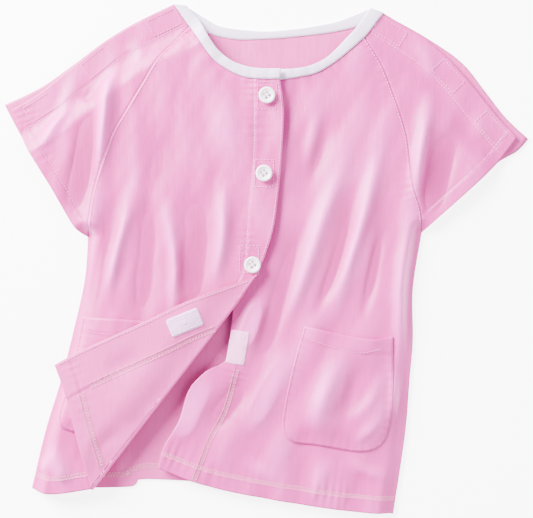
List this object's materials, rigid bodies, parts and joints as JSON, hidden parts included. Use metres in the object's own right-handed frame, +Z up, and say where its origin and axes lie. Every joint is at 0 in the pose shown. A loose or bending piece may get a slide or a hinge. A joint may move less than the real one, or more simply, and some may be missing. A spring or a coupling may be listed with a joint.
{
  "type": "patient gown",
  "caption": "Short wrap-front patient gown lying flat, with bound neck, open-top raglan sleeves, patch pockets, shirt buttons over hook-and-loop tape and one front corner folded back.",
  "frame": {"origin": "centre of the bounding box, on the floor the back of the gown lies on", "axes": "+Z up away from the floor, +Y from the hem towards the neck, +X towards the wearer's left"},
  "size_m": [0.4756, 0.4616, 0.0224],
  "materials": {
    "cloth": "soft satin weave",
    "cloth_doubled": "doubled satin weave",
    "neck_binding": "bias binding",
    "hook_and_loop_tape": "brushed tape",
    "button": "polished",
    "thread": "sewing thread"
  },
  "bodies": {
    "gown_body": {"back_hem": "cloth_doubled", "back_neck_binding": "neck_binding", "back_panel": "cloth", "left_cuff_hem_back": "cloth_doubled", "left_front_side": "cloth", "left_shoulder_loop_1": "hook_and_loop_tape", "left_shoulder_loop_2": "hook_and_loop_tape", "left_shoulder_loop_3": "hook_and_loop_tape", "left_sleeve_back": "cloth", "right_cuff_hem_back": "cloth_doubled", "right_front_side": "cloth", "right_shoulder_loop_1": "hook_and_loop_tape", "right_shoulder_loop_2": "hook_and_loop_tape", "right_shoulder_loop_3": "hook_and_loop_tape", "right_sleeve_back": "cloth"},
    "button_1": {"button_1": "button", "button_1_thread": "thread"},
    "button_2": {"button_2": "button", "button_2_thread": "thread"},
    "button_3": {"button_3": "button", "button_3_thread": "thread"},
    "button_4": {"button_4": "button", "button_4_thread": "thread"},
    "corner_flap": {"flap_facing": "cloth_doubled", "flap_hem": "cloth_doubled", "flap_panel": "cloth", "front_hook_4": "hook_and_loop_tape"},
    "right_front": {"front_hook_1": "hook_and_loop_tape", "front_hook_2": "hook_and_loop_tape", "front_hook_3": "hook_and_loop_tape", "right_front_hem": "cloth_doubled", "right_front_panel": "cloth", "right_neck_binding": "neck_binding", "right_placket": "cloth_doubled", "right_pocket": "cloth"},
    "left_front": {"front_loop_1": "hook_and_loop_tape", "front_loop_2": "hook_and_loop_tape", "front_loop_3": "hook_and_loop_tape", "front_loop_4": "hook_and_loop_tape", "left_front_hem": "cloth_doubled", "left_front_panel": "cloth", "left_neck_binding": "neck_binding", "left_placket": "cloth_doubled", "left_pocket": "cloth"},
    "right_sleeve_front": {"right_cuff_hem_front": "cloth_doubled", "right_shoulder_binding": "neck_binding", "right_shoulder_hook_1": "hook_and_loop_tape", "right_shoulder_hook_2": "hook_and_loop_tape", "right_shoulder_hook_3": "hook_and_loop_tape", "right_sleeve_front": "cloth"},
    "left_sleeve_front": {"left_cuff_hem_front": "cloth_doubled", "left_shoulder_binding": "neck_binding", "left_shoulder_hook_1": "hook_and_loop_tape", "left_shoulder_hook_2": "hook_and_loop_tape", "left_shoulder_hook_3": "hook_and_loop_tape", "left_sleeve_front": "cloth"}
  },
  "joints": [
    {"name": "right_front_opening", "type": "hinge", "parent": "gown_body", "child": "right_front", "pos_m": [-0.07, 0.21101, 0.014], "axis": [-0.3676, -0.93, 0], "range_deg": [0, 95]},
    {"name": "left_front_opening", "type": "hinge", "parent": "gown_body", "child": "left_front", "pos_m": [0.089, 0.20101, 0.0095], "axis": [-0.1373, 0.9905, 0], "range_deg": [0, 53]},
    {"name": "corner_flap_fold", "type": "hinge", "parent": "right_front", "child": "corner_flap", "pos_m": [-0.008, -0.01499, 0.01665], "axis": [0.6131, 0.79, 0], "range_deg": [0, 180]},
    {"name": "right_shoulder_opening", "type": "hinge", "parent": "gown_body", "child": "right_sleeve_front", "pos_m": [-0.07, 0.21101, 0.014], "axis": [0.434, 0.9009, 0], "range_deg": [0, 55]},
    {"name": "left_shoulder_opening", "type": "hinge", "parent": "gown_body", "child": "left_sleeve_front", "pos_m": [0.089, 0.20101, 0.0095], "axis": [0.2819, -0.9595, 0], "range_deg": [0, 55]},
    {"name": "button_1_tilt", "type": "hinge", "parent": "right_front", "child": "button_1", "pos_m": [0.0004, 0.14701, 0.0143], "axis": [1, 0, 0], "range_deg": [-6, 6], "stiffness_Nm_per_rad": 0.002},
    {"name": "button_2_tilt", "type": "hinge", "parent": "right_front", "child": "button_2", "pos_m": [-0.0022, 0.07701, 0.0143], "axis": [1, 0, 0], "range_deg": [-6, 6], "stiffness_Nm_per_rad": 0.002},
    {"name": "button_3_tilt", "type": "hinge", "parent": "right_front", "child": "button_3", "pos_m": [-0.0126, -0.00529, 0.0143], "axis": [1, 0, 0], "range_deg": [-6, 6], "stiffness_Nm_per_rad": 0.002},
    {"name": "button_4_tilt", "type": "hinge", "parent": "corner_flap", "child": "button_4", "pos_m": [-0.0729, -0.05669, 0.019], "axis": [1, 0, 0], "range_deg": [-6, 6], "stiffness_Nm_per_rad": 0.002}
  ],
  "couplings": [
    {"joint": "left_front_opening", "follows": "right_front_opening", "ratio": 0.55}
  ]
}
